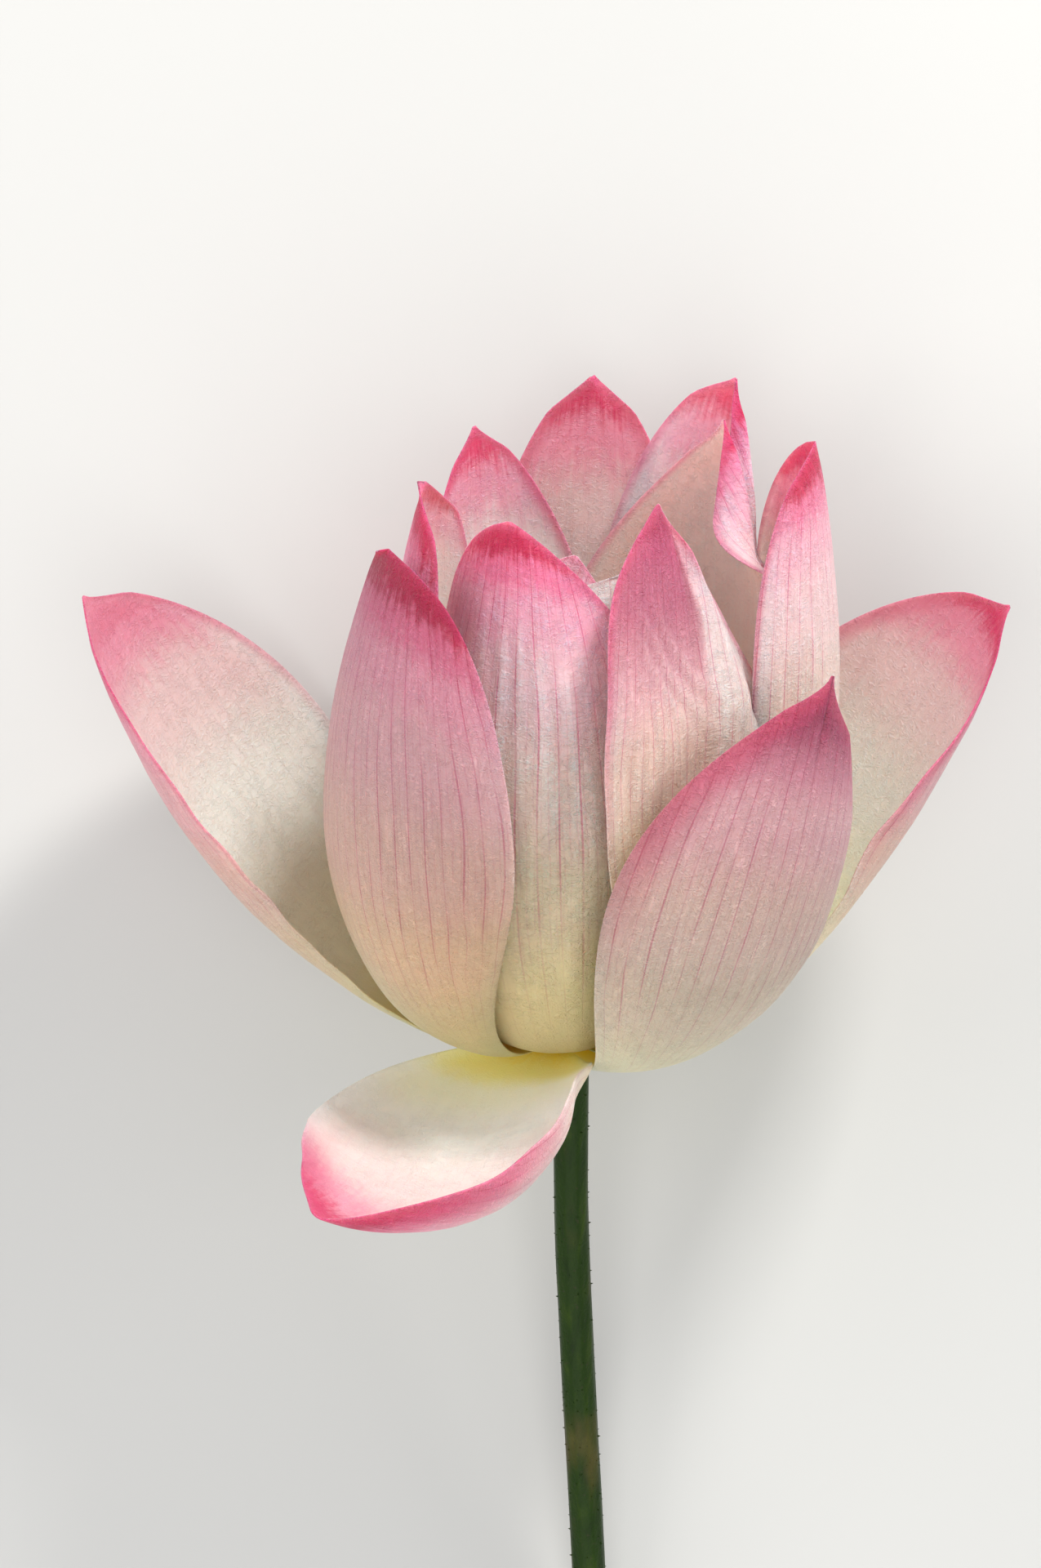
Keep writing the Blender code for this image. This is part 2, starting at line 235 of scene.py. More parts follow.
def addBump(tree, shader, height, distance):
    bump = addNode(tree, "ShaderNodeBump")
    bump.inputs["Distance"].default_value = distance
    fill(tree, bump.inputs["Height"], height)
    fill(tree, shader.inputs["Normal"], bump.outputs["Normal"])


# what the petals' own attributes hold:
# petalPlace: across (-1 to 1), along (0 to 1) and the place among the veins
# petalSize: millimetres across, along, and in from the nearest margin
# petalTint: how far the pink keeps to the tip outside and inside, and how deep it gets
# petalRim: strength of the pink band at the margin, its width in millimetres, and the tone, a brightness
# scale that is partly the petal's own lightness and partly painted light and shade
# petalWash: shares of a warm wash inside, a painted glow that stands in for light through the petal, and
# outside of a pale wash, partly the petal's own paler colour and partly painted light, and of a dark one,
# painted shade
def makeVeinGroup():
    tree, given, result = newGroup(
        "petalVeins", dict(Place="Float", Size="Vector"), dict(Veins="Float", Streaks="Float")
    )
    size = split(tree, given["Size"])
    drift = combined(tree, size[0], 0.1, size[1], 0.02)
    wander = sums(tree, "MULTIPLY_ADD", noised(tree, drift, 1.0, 1.0), 0.9, -0.45)
    place = sums(tree, "ADD", given["Place"], wander)
    main = ranged(tree, sums(tree, "PINGPONG", place, 0.5), 0.012, 0.07, 1.0, 0.0)
    fineDrift = combined(tree, size[0], 0.3, size[1], 0.07, 4.0)
    finePlace = sums(tree, "MULTIPLY_ADD", place, 3.0, noised(tree, fineDrift, 1.0, 1.0))
    fine = ranged(tree, sums(tree, "PINGPONG", finePlace, 0.5), 0.02, 0.16, 0.3, 0.0)
    broken = combined(tree, place, 0.9, size[1], 0.05)
    strength = ranged(tree, noised(tree, broken, 1.3), 0.34, 0.62, 0.35, 1.0)
    veins = product(tree, sums(tree, "MAXIMUM", main, fine), strength, clamp=True)
    fill(tree, result["Veins"], veins)
    lines = combined(tree, place, 2.6, size[1], 0.05)
    streaks = sums(tree, "SUBTRACT", noised(tree, lines, 1.0, 3.0, 0.6), 0.5)
    fill(tree, result["Streaks"], streaks)
    return tree


def makeCrepeGroup():
    tree, given, result = newGroup(
        "petalCrepe",
        dict(Size="Vector", Veins="Float"),
        dict(Height="Float", Glint="Float", Mottle="Float"),
    )
    size = given["Size"]
    pleats = noised(tree, stretched(tree, size, (0.85, 0.1, 0.0)), 1.0, 3.0, 0.55, 0.3)
    folds = noised(tree, stretched(tree, size, (0.8, 1.25, 0.0)), 0.75, 2.0, 0.5, 0.9)
    fromFold = sums(tree, "ABSOLUTE", sums(tree, "SUBTRACT", folds, 0.5))
    crinkle = ranged(tree, fromFold, 0.0, 0.08, 1.0, 0.0)
    crinkled = ranged(tree, noised(tree, size, 0.25), 0.32, 0.58, 0.2, 1.0)
    crinkle = product(tree, crinkle, crinkled)
    grain = noised(tree, stretched(tree, size, (1.0, 0.6, 0.0)), 4.5, 2.0, 0.6)
    height = sums(tree, "MULTIPLY_ADD", crinkle, 0.45, product(tree, pleats, 0.5))
    height = sums(tree, "MULTIPLY_ADD", grain, 0.16, height)
    height = sums(tree, "MULTIPLY_ADD", given["Veins"], -0.1, height)
    fill(tree, result["Height"], height)
    glint = product(tree, crinkle, ranged(tree, pleats, 0.35, 0.6, 0.2, 1.0))
    glint = sums(tree, "MAXIMUM", glint, ranged(tree, pleats, 0.55, 0.8))
    fill(tree, result["Glint"], sums(tree, "SUBTRACT", glint, 0.25))
    mottle = sums(tree, "SUBTRACT", noised(tree, size, 0.35, 4.0, 0.65), 0.5)
    fill(tree, result["Mottle"], mottle)
    return tree


def makeBlushGroup():
    tree, given, result = newGroup(
        "petalBlush",
        dict(Place="Vector", Size="Vector", Rim="Vector", Keep="Float", Deepest="Float",
             Streaks="Float", Mottle="Float"),
        dict(Blush="Float", Margin="Float"),
    )
    place = split(tree, given["Place"])
    size = split(tree, given["Size"])
    sideways = sums(tree, "POWER", sums(tree, "ABSOLUTE", place[0]), 3.0)
    left = product(tree, sums(tree, "SUBTRACT", 1.0, place[1]), given["Keep"])
    along = sums(tree, "SUBTRACT", 1.0, left)
    fromBase = ranged(tree, place[1], 0.05, 0.45)
    along = product(tree, along, fromBase)
    along = sums(tree, "MULTIPLY_ADD", place[1], sums(tree, "SUBTRACT", 1.0, fromBase), along)
    upper = ranged(tree, place[1], 0.25, 0.75)
    along = sums(tree, "MULTIPLY_ADD", product(tree, sideways, upper), 0.04, along)
    ragged = product(tree, given["Streaks"], ranged(tree, place[1], 0.15, 0.6, 0.0, 0.09))
    along = sums(tree, "ADD", along, ragged)
    along = sums(tree, "MULTIPLY_ADD", given["Mottle"], 0.07, along, clamp=True)
    along = sums(tree, "MINIMUM", along, given["Deepest"])
    fill(tree, result["Blush"], along)
    rim = split(tree, given["Rim"])
    band = product(tree, ranged(tree, size[2], 0.1, rim[1], 1.0, 0.0), rim[0])
    band = product(tree, band, ranged(tree, place[1], 0.4, 0.8, 0.04, 1.0))
    fill(tree, result["Margin"], band)
    return tree


veinGroup = makeVeinGroup()
crepeGroup = makeCrepeGroup()
blushGroup = makeBlushGroup()

petalFinish = {
    "outside": (
        (0.0, (0.88, 0.79, 0.26)), (0.12, (0.88, 0.8, 0.38)),
        (0.3, (0.88, 0.69, 0.46)), (0.5, (0.88, 0.61, 0.52)),
        (0.72, (0.88, 0.53, 0.57)), (0.84, (0.86, 0.4, 0.51)),
        (0.91, (0.76, 0.2, 0.34)), (0.96, (0.46, 0.015, 0.08)),
    ),
    "inside": (
        (0.0, (0.88, 0.62, 0.05)), (0.1, (0.87, 0.77, 0.3)),
        (0.26, (0.88, 0.87, 0.68)), (0.54, (0.89, 0.88, 0.82)),
        (0.76, (0.88, 0.67, 0.68)), (0.9, (0.84, 0.34, 0.46)),
        (0.97, (0.6, 0.04, 0.14)),
    ),
    "veinColour": (0.78, 0.42, 0.58, 1.0),
    "marginColour": (0.62, 0.06, 0.18, 1.0),
    "lightest": (0.98, 0.96, 0.94),
    # painted glow: a warm salmon tint that stands in for light shining through the petals
    "warmColour": (0.92, 0.51, 0.46, 1.0),
    # partly the petals' own paler colour and partly painted light on their lit sides and ridges
    "paleAndPaintedLightColour": (0.94, 0.9, 0.84, 1.0),
    # painted shade: a dark mauve that darkens the shaded side and the tips of some petals
    "paintedShadeColour": (0.36, 0.06, 0.14, 1.0),
    "roughness": 0.46,
    "skin": {
        "Subsurface Weight": 0.9,
        "Subsurface Radius": (1.0, 0.7, 0.6),
        "Subsurface Scale": 0.003,
        "Sheen Weight": 0.04,
        "Sheen Roughness": 0.4,
        "Specular IOR Level": 0.3,
    },
}
petalFaces = {  # tint and washes name the parts of petalTint and petalWash that they read
    "outside": dict(tint=0, washes=((1, "paleAndPaintedLightColour"), (2, "paintedShadeColour")), veins=0.85, margin=0.8,
                    glints=0.3, bump=0.0013),
    "inside": dict(tint=1, washes=((0, "warmColour"),), veins=0.08, margin=0.75, glints=0.1,
                   bump=0.0005),
}


def makePetalMaterial(side):
    face = petalFaces[side]
    material, tree, shader = newMaterial("petal" + side.title(), petalFinish["roughness"])
    rim = attribute(tree, "petalRim")
    place = attribute(tree, "petalPlace")
    size = attribute(tree, "petalSize")
    tint = split(tree, attribute(tree, "petalTint"))
    places = split(tree, place)
    veins = useGroup(tree, veinGroup, Place=places[2], Size=size)
    crepe = useGroup(tree, crepeGroup, Size=size, Veins=veins["Veins"])
    blush = useGroup(tree, blushGroup, Place=place, Size=size, Rim=rim, Keep=tint[face["tint"]],
                     Deepest=tint[2], Streaks=veins["Streaks"], Mottle=crepe["Mottle"])
    colour = ramp(tree, blush["Blush"], petalFinish[side])
    wash = split(tree, attribute(tree, "petalWash"))
    # the washes mix in the warm painted glow, the pale colour with its painted light, and the painted
    # shade
    for part, label in face["washes"]:
        colour = mixed(tree, wash[part], colour, petalFinish[label])
    margin = product(tree, blush["Margin"], face["margin"])
    colour = mixed(tree, margin, colour, petalFinish["marginColour"])
    shown = product(tree, veins["Veins"], ranged(tree, places[1], 0.1, 0.6, 0.0, face["veins"]))
    colour = mixed(tree, shown, colour, petalFinish["veinColour"], "MULTIPLY")
    crisp = ranged(tree, places[1], 0.1, 0.65, 0.15, 1.0)
    glint = product(tree, product(tree, crepe["Glint"], face["glints"]), crisp)
    # painted highlights from the glints and painted light and shade from the tone scale the colour
    lit = product(tree, sums(tree, "ADD", glint, 1.0), split(tree, rim)[2])
    toned = vectorMath(tree, "SCALE", colour, lit, "Scale")
    capped = vectorMath(tree, "MINIMUM", toned, petalFinish["lightest"])
    fill(tree, shader.inputs["Base Color"], capped)
    gloss = sums(tree, "MULTIPLY_ADD", crepe["Mottle"], 0.25, petalFinish["roughness"])
    fill(tree, shader.inputs["Roughness"], gloss)
    setInputs(shader, petalFinish["skin"])
    addBump(tree, shader, product(tree, crepe["Height"], crisp), face["bump"])
    return material


petalOutside = makePetalMaterial("outside")
petalInside = makePetalMaterial("inside")
print("petal materials done")

# the petals grow round the receptacle's foot, so its measures come first, in millimetres
receptacle = {
    "foot": -5.4,
    "flare": 6.4,
    "core": 6.2,
    "stalk": 3.7,
    "top": 38.0,
    "radius": 14.0,
    "neck": 16.0,
    "side": (  # share of the radius, and millimetres below the top
        (0.5, 18.24), (0.6, 12.92), (0.75, 8.36), (0.9, 5.0), (0.97, 3.4), (1.0, 2.0),
        (0.98, 0.9), (0.93, 0.2), (0.86, 0.0), (0.4, 0.3), (0.0, 0.35),
    ),
    "steps": 72,
    "ribs": 18,
    "ribDepth": 0.018,
    "rings": ((0.0, 1), (5.2, 6), (10.2, 11)),  # radius of each ring of stigmas, and their number
    "stigma": 1.3,
    "colours": ((0.25, (0.62, 0.58, 0.1)), (0.5, (0.78, 0.72, 0.2)), (0.75, (0.86, 0.8, 0.34))),
    "stigmaColours": ((0.3, (0.8, 0.62, 0.08)), (0.7, (0.88, 0.76, 0.24))),
}

petalStyle = {
    "rows": 111,
    "columns": 61,
    "thick": 0.75,
    "seatRadius": 6.5,
    "seatTop": 10.2,
    "seatStep": 2.05,
    "claw": 2.5,
    "tip": 0.7,
    "fineTip": 0.35,
    "cupFade": 0.6,
    "rollFrom": 0.4,
    "rollSpread": 0.3,
    "curlSoft": 0.16,
    "veinGap": 3.3,
    "ridgeHighlight": 0.22,  # strength of the painted highlight on the small ridges
    "pleatSize": (2.3, 30.0),  # across and along, in millimetres
    "buckleSize": (10.0, 17.0),
    "buckleDepth": 1.6,  # times the depth of the pleats
    "waveSize": (0.5, 13.0),
    "marginThin": 0.4,  # the share of the thickness that is left at the margin
    "marginReach": 7.0,
}
nesting = {"rows": 14, "columns": 9, "heart": 45.0, "gap": 2.3, "slope": 0.6, "reach": 3.0, "claw": 0.08}
petalDefaults = {  # pairs are for the left and the right side; angles are in degrees
    "side": 0,
    "twist": 0,
    "rolls": (0, 0),  # more bend, round rollAt
    "rollAt": 0.65,
    "sides": (1, 1),  # width of each side
    "foot": (1, 1),  # how slim the foot is
    "heel": (0, 0),  # millimetres more at the foot
    "lift": 0,
    "apex": ((0.05, 0.45), (0.05, 0.45)),  # reach and power of the narrowing at the tip
    "belly": (0, 0),  # fuller just under the tip
    "spread": (0, 0),  # bend of the sides below a curl
    "curl": (0, 0),
    "curlAt": 0.8,
    "curlSpan": 0.08,
    "curlFrom": 0.5,
    "hook": (0, 0, 0),
    "swell": (0, 0),  # millimetres forward, and its middle across
    "ridges": (),  # across at foot and tip, width, height, from and to
    "pleats": 0.22,
    "wave": 0.5,
    "outer": 1.0,
    "inner": 1.0,
    "deepest": 1.0,
    # painted glow inside, standing in for light through the petal
    "warm": 0,
    "pale": (0, 0, 1, -2),  # partly the petal's own paler colour and partly painted light: share, from and to along, leftmost place
    "dusk": (0, 0, 0, 0),  # painted shade, a dark mauve wash: share, its right edge at foot and tip, from
    "rim": (0.8, 0.8, 2.6),  # pink of the left and right margin, and its width
    # the tone is partly the petal's own lightness and partly painted light and shade: petals in shade are
    # made darker, shaded inner faces lighter
    "tone": 1.0,
    # painted light and shade at the foot: the colour is scaled lighter or darker towards the foot
    "paintedFootLight": 1.0,
}
# innermost first; tip, low and high bend the rib, cup and rolls bend it across, and outer and inner
# say how closely the pink keeps to the tip
petals = [
    dict(node="petal_heart_left", azimuth=-28, whorl=0, tip=(0.2, -16, 102.0), low=(32, 0),
        high=(33, 70), width=30, widest=0.6, point=0.45, cup=50, rolls=(0, 20), inner=0.9,
        deepest=0.85),
    dict(node="petal_heart_front", azimuth=22, whorl=1, tip=(6.5, -15, 99.4), low=(33, 0),
        high=(34, 70), width=30, widest=0.6, point=0.35, cup=50, rolls=(20, 20),
        apex=((0.02, 0.1), (0.02, 0.1)), outer=2.6, inner=1.6, deepest=0.5, pale=(0.85, 0, 2, -2),
        rim=(0.5, 0.35, 2)),
    dict(node="petal_inner_right", azimuth=124, whorl=0, tip=(29, 24, 117), low=(34, 0), high=(38, 74),
        side=-4, width=66, widest=0.56, point=0.95, cup=48, twist=6, rolls=(30, 0), rollAt=0.85,
        sides=(1, 1.22), spread=(-80, 0), curl=(80, 0), curlAt=0.74, curlSpan=0.14, curlFrom=0.56,
        outer=1.5, inner=0.95, warm=0.9, tone=1.15),
    dict(node="petal_inner_left", azimuth=-80, whorl=0, tip=(-17, -2, 94), low=(30, 0), high=(32, 64),
        width=40, widest=0.52, point=0.7, cup=55),
    dict(node="petal_inner_front", azimuth=-21, whorl=4, tip=(-12, -31, 113), low=(40, -4),
        high=(34, 66), side=1, width=57, widest=0.56, point=0.64, cup=66, twist=6, rolls=(10, 0),
        foot=(0.5, 0.5), apex=((0.03, 0.1), (0.14, 0.25)), swell=(8.5, 0.08),
        ridges=((-0.2, -0.14, 0.07, 0.3, 0.55, 0.84), (0.0, 0.0, 0.07, 0.4, 0.52, 0.86),
                (0.14, 0.13, 0.05, 0.3, 0.55, 0.88), (0.3, 0.24, 0.07, 0.4, 0.5, 0.84),
                (0.5, 0.4, 0.05, 0.3, 0.5, 0.8)),
        pleats=0.35, outer=1.26, dusk=(0.1, 2, 2, -1), tone=1.14, paintedFootLight=0.62),
    dict(node="petal_left", azimuth=-97, whorl=2, tip=(-28, 9, 109), low=(43, -3), high=(42, 61),
        side=2, width=53, widest=0.59, point=0.4, cup=65, rolls=(-10, 8), sides=(1.1, 1.22),
        inner=1.7, warm=0.2, tone=1.13),
    dict(node="petal_back_left", azimuth=-152, whorl=3, tip=(-19, 34, 113), low=(39, -3), high=(46, 75),
        side=-7, width=48, widest=0.5, point=0.82, cup=45, twist=-6, inner=1.1, rim=(1, 1, 3.5),
        tone=1.12),
    dict(node="petal_back_right", azimuth=140, whorl=2, tip=(31, 32, 123.5), low=(40, -1),
        high=(46, 97), side=7, width=46, widest=0.6, point=0.8, cup=37, twist=5, rolls=(-10, -8),
        sides=(1.15, 1), spread=(-35, 0), curl=(100, 0), curlAt=0.715, curlFrom=0.6,
        hook=(0.6, -0.3, -0.3), outer=1.5, inner=1.1, warm=0.1, tone=1.14),
    dict(node="petal_front_right", azimuth=33, whorl=5, tip=(16, -20, 113), low=(45, -2), high=(52, 80),
        side=-8, width=58, widest=0.68, point=0.9, cup=26, twist=-28, rolls=(-15, -50),
        sides=(0.71, 0.755), apex=((0.03, 0.1), (0.28, 0.5)), belly=(0.18, 0), hook=(-0.8, 0, 0),
        swell=(8, 1),
        ridges=((-0.4, 0.95, 0.45, 2.2, 0.62, 0.98), (3.9, -1.4, 0.1, 0.5, 0.62, 0.88),
                (3.4, -1.5, 0.08, 0.4, 0.62, 0.84), (4.4, -1.2, 0.09, 0.5, 0.64, 0.88)),
        pleats=0.8, outer=1.4, pale=(0.5, 0.45, 1.1, 0.22), dusk=(0.75, -0.2, 0.6, 0.68), tone=0.9),
    dict(node="petal_right", azimuth=83, whorl=4, tip=(45, 1, 119), low=(47, 1), high=(58.4, 54),
        side=1, width=60, widest=0.68, point=0.5, cup=68, twist=-4, rolls=(0, -30), sides=(1, 1.25),
        apex=((0.04, 0.3), (0.02, 0.1)), outer=1.5, inner=1.4, pale=(0.25, 0.3, 1.0, -2),
        rim=(0.8, 0.8, 2), tone=0.92),
    dict(node="petal_back", azimuth=178, whorl=4, tip=(4, 45, 120), low=(38, -2), high=(52, 79),
        side=-1, width=48, widest=0.5, point=0.65, cup=45, inner=1.15, rim=(1, 1, 5), tone=0.88),
    dict(node="petal_front_left", azimuth=-54, whorl=5, tip=(-34, -25, 106), low=(43, -4),
        high=(68, 44), side=-4, width=76, widest=0.64, point=0.45, cup=68, twist=20, sides=(1, 1.09),
        foot=(1, 1.7), apex=((0.03, 0.2), (0.03, 0.2)), outer=1.2, rim=(0.9, 0.2, 2.6), tone=0.69,
        paintedFootLight=1.1),
    dict(node="petal_outer_right", azimuth=33, whorl=6, tip=(47, -32, 84), low=(48, 5), high=(66, 23),
        side=-1, width=65, widest=0.59, point=1.15, cup=50, twist=-8, rolls=(5, 20), rollAt=0.75,
        sides=(1.04, 1), heel=(3, 0), apex=((0.06, 0.4), (0.08, 0.8)),
        ridges=((0, 0, 0.1, -0.6, 0.8, 1.0),), outer=1.25, pale=(0.35, -1, 0.75, -2),
        dusk=(1.0, 2, 2, 0.78), rim=(1, 0.4, 10), tone=0.63, paintedFootLight=1.5),
    dict(node="petal_spread_right", azimuth=106, whorl=5, tip=(84, 13, 83), low=(48, -2), high=(72, 64),
        side=5, width=70, widest=0.57, point=0.95, cup=52, twist=-16, rolls=(22, 0), wave=1.0,
        outer=1.15, inner=1.2, rim=(1, 1, 6), tone=0.82, paintedFootLight=1.6),
    dict(node="petal_hidden_right", azimuth=150, whorl=6, tip=(24, 45, 92), low=(49, -3), high=(69, 46),
        width=42, widest=0.56, point=0.8, cup=52),
    dict(node="petal_hidden_left", azimuth=-150, whorl=6, tip=(-22, 45, 90), low=(49, -3),
        high=(69, 46), width=42, widest=0.56, point=0.8, cup=52),
    dict(node="petal_spread_left", azimuth=-108, whorl=7, tip=(-94, 13, 85), low=(49, 7), high=(75, 22),
        side=1, width=80, widest=0.59, point=0.8, cup=57, twist=-4, rolls=(0, -6), wave=0.9, outer=1.15,
        inner=1.15, deepest=0.925, tone=0.76),
    dict(node="petal_drooping", azimuth=-54, whorl=7, tip=(-45, -91, 3), low=(32, -4), high=(50, -18),
        side=50, width=64, widest=0.51, point=0.7, cup=62, twist=-15, rolls=(-13, 25), foot=(1.2, 0.75),
        heel=(0, 1.6), lift=3.4, apex=((0.02, 0.2), (0.05, 0.45)), belly=(0.1, 0), wave=1.3, outer=0.95,
        inner=0.58, pale=(0.35, 0.2, 0.85, -2), rim=(1, 1, 12), tone=0.92, paintedFootLight=1.08),
]


def footRadius(height):  # the receptacle narrows to the stem below the petals
    widening = smoothStep((height - receptacle["foot"]) / receptacle["flare"])
    return receptacle["stalk"] + (receptacle["core"] - receptacle["stalk"]) * widening


def ribCurve(petal, rows, fine, steps=240):
    azimuth = math.radians(petal["azimuth"])
    outward = np.array([math.sin(azimuth), -math.cos(azimuth), 0.0])
    across = np.array([math.cos(azimuth), math.sin(azimuth), 0.0])
    upward = np.array([0.0, 0.0, 1.0])
    seat = petalStyle["seatTop"] - petalStyle["seatStep"] * petal["whorl"]
    lift = petal["lift"] if fine else 0.0
    radius = footRadius(seat + lift) - 0.2 if fine else petalStyle["seatRadius"]
    start = outward * radius + upward * (seat + lift)
    low = outward * petal["low"][0] + upward * (seat + petal["low"][1])
    high = outward * petal["high"][0] + upward * petal["high"][1] + across * petal["side"]
    tip = np.array(petal["tip"], dtype=float)
    t = np.linspace(0.0, 1.0, steps + 1)[:, None]
    points = (1 - t) ** 3 * start + 3 * (1 - t) ** 2 * t * low + 3 * (1 - t) * t**2 * high + t**3 * tip
    tangents = (1 - t) ** 2 * (low - start) + 2 * (1 - t) * t * (high - low) + t**2 * (tip - high)
    travelled = np.concatenate([[0.0], np.cumsum(np.linalg.norm(np.diff(points, axis=0), axis=1))])
    stops = np.linspace(0.0, travelled[-1], rows)
    points, tangents = (
        np.stack([np.interp(stops, travelled, column) for column in values.T], axis=-1)
        for values in (points, tangents)
    )
    tangents /= np.linalg.norm(tangents, axis=1)[:, None]
    return points, tangents, across, travelled[-1]


def runningSum(values):
    sumsSoFar = np.cumsum((values[:, 1:] + values[:, :-1]) / 2.0, axis=1)
    return np.hstack([np.zeros((len(values), 1)), sumsSoFar]) / (values.shape[1] - 1)


def halfWidths(petal, along, fine):  # a column for the left margin and one for the right
    before = petal["point"] * petal["widest"] / (1.0 - petal["widest"])
    peak = petal["widest"] ** before * (1.0 - petal["widest"]) ** petal["point"]
    share = along**before * (1.0 - along) ** petal["point"] / peak
    claw = petalStyle["claw"] * (1.0 - along) ** 4
    plain = petal["width"] / 2.0 * share + claw + petalStyle["tip"] * along**8
    if not fine:
        return np.stack([plain, plain], axis=-1)
    widths = []
    for side in (0, 1):
        reach, power = petal["apex"][side]
        pointed = share * np.clip((1.0 - along) / reach, 0.0, 1.0) ** power
        pointed = pointed * (1.0 + petal["belly"][side] * np.exp(-(((along - 0.88) / 0.08) ** 2)))
        foot = np.where(along < petal["widest"], share ** petal["foot"][side], pointed)
        blade = petal["width"] / 2.0 * foot * petal["sides"][side]
        heel = petal["heel"][side] * smoothStep(1.0 - along / 0.3)
        widths.append(blade + claw + heel + petalStyle["fineTip"] * along**8)
    return np.stack(widths, axis=-1)


def petalSheet(petal, rows, columns, fine=False, steps=60):
    rib, tangents, across, length = ribCurve(petal, rows, fine)
    sideways = across - tangents * (tangents @ across)[:, None]
    sideways /= np.linalg.norm(sideways, axis=1)[:, None]
    outward = np.cross(sideways, tangents)
    along = np.linspace(0.0, 1.0, rows)
    twist = np.radians(petal["twist"]) * smoothStep(along)[:, None]
    sideways, outward = (
        sideways * np.cos(twist) + outward * np.sin(twist),
        outward * np.cos(twist) - sideways * np.sin(twist),
    )
    halfWidth = halfWidths(petal, along, fine)
    fullness = np.clip(halfWidths(petal, along, False)[:, 0] / (petal["width"] / 2.0), 0.0, 1.0)
    cup = np.radians(petal["cup"]) * fullness ** petalStyle["cupFade"]
    rollReach = np.exp(-(((along - petal["rollAt"]) / petalStyle["rollSpread"]) ** 2))
    curlReach = smoothStep((along - petal["curlAt"]) / petal["curlSpan"])
    share = np.linspace(0.0, 1.0, steps + 1)
    rolled = smoothStep((share - petalStyle["rollFrom"]) / (1.0 - petalStyle["rollFrom"]))
    curled = smoothStep((share - petal["curlFrom"]) / petalStyle["curlSoft"])
    sheet = np.zeros((rows, columns, 3))
    for column, place in enumerate(np.linspace(-1.0, 1.0, columns)):
        side = 0 if place < 0.0 else 1
        bend = cup[:, None] * share + (np.radians(petal["rolls"][side]) * rollReach)[:, None] * rolled
        if fine:
            folding = petal["curl"][side] * curlReach + petal["spread"][side] * (1.0 - curlReach)
            bend = bend + np.radians(folding)[:, None] * curled
        step = abs(place) * steps
        reach = [np.interp(step, range(steps + 1), row) for row in runningSum(np.cos(bend))]
        rise = [np.interp(step, range(steps + 1), row) for row in runningSum(np.sin(bend))]
        crosswise = sideways * ((2 * side - 1) * halfWidth[:, side] * reach)[:, None]
        sheet[:, column] = rib + crosswise - outward * (halfWidth[:, side] * rise)[:, None]
    return sheet, halfWidth, length


def neighbours(grid):  # nine grids: each value with the eight round it
    rows, columns = grid.shape
    padded = np.pad(grid, 1, mode="edge")
    return [padded[i : i + rows, j : j + columns] for i in range(3) for j in range(3)]


def spreadAndSmooth(push):
    highest = np.max(neighbours(push), axis=0)
    return np.maximum(push, np.mean(neighbours(highest), axis=0))


def raysFromHeart(points):
    starts = np.maximum(points[..., 2], nesting["heart"])
    offsets = points.copy()
    offsets[..., 2] -= starts
    lengths = np.linalg.norm(offsets, axis=-1)
    return starts, offsets / lengths[..., None], lengths


def nestPushes():  # how far each petal is eased out to clear the ones inside it, on a coarse grid
    inner = np.zeros((0, 3))
    pushes = []
    for petal in petals:
        sheet = petalSheet(petal, nesting["rows"], nesting["columns"])[0]
        starts, rays, lengths = raysFromHeart(sheet.reshape(-1, 3))
        innerStarts, innerRays, innerLengths = raysFromHeart(inner)
        push = np.zeros(sheet.shape[:2])
        if len(inner):
            angle = np.arccos(np.clip(rays @ innerRays.T, -1.0, 1.0))
            apart = np.hypot(angle * innerLengths, starts[:, None] - innerStarts)
            fade = nesting["slope"] * np.maximum(0.0, apart - nesting["reach"])
            needed = (innerLengths + nesting["gap"] - fade).max(axis=1)
            push = spreadAndSmooth(np.maximum(0.0, needed - lengths).reshape(push.shape))
            push *= smoothStep(np.linspace(0.0, 1.0, nesting["rows"]) / nesting["claw"])[:, None]
        sheet = sheet + rays.reshape(sheet.shape) * push[..., None]
        middles = (sheet[:-1, :-1] + sheet[1:, :-1] + sheet[:-1, 1:] + sheet[1:, 1:]) / 4.0
        inner = np.concatenate([inner, sheet.reshape(-1, 3), middles.reshape(-1, 3)])
        pushes.append(push)
    return pushes


def refine(values, rows, columns, passes=10):  # a coarse grid of numbers made fine and even
    atRows = np.linspace(0.0, values.shape[0] - 1.0, rows)
    atColumns = np.linspace(0.0, values.shape[1] - 1.0, columns)
    tall = np.stack([np.interp(atRows, range(values.shape[0]), column) for column in values.T], axis=1)
    fine = np.stack([np.interp(atColumns, range(values.shape[1]), row) for row in tall])
    for _ in range(passes):
        near = neighbours(fine)
        fine = (near[1] + near[7] + near[3] + near[5] + 4.0 * fine) / 8.0
    return fine


def sheetNormals(sheet):
    down = np.gradient(sheet, axis=0)
    over = np.gradient(sheet, axis=1)
    normals = np.cross(over, down)
    return normals / np.maximum(np.linalg.norm(normals, axis=-1), 1e-9)[..., None]


def ripple(size, x, y, seed):
    return noise.noise(Vector((x / size[0], y / size[1], seed)))


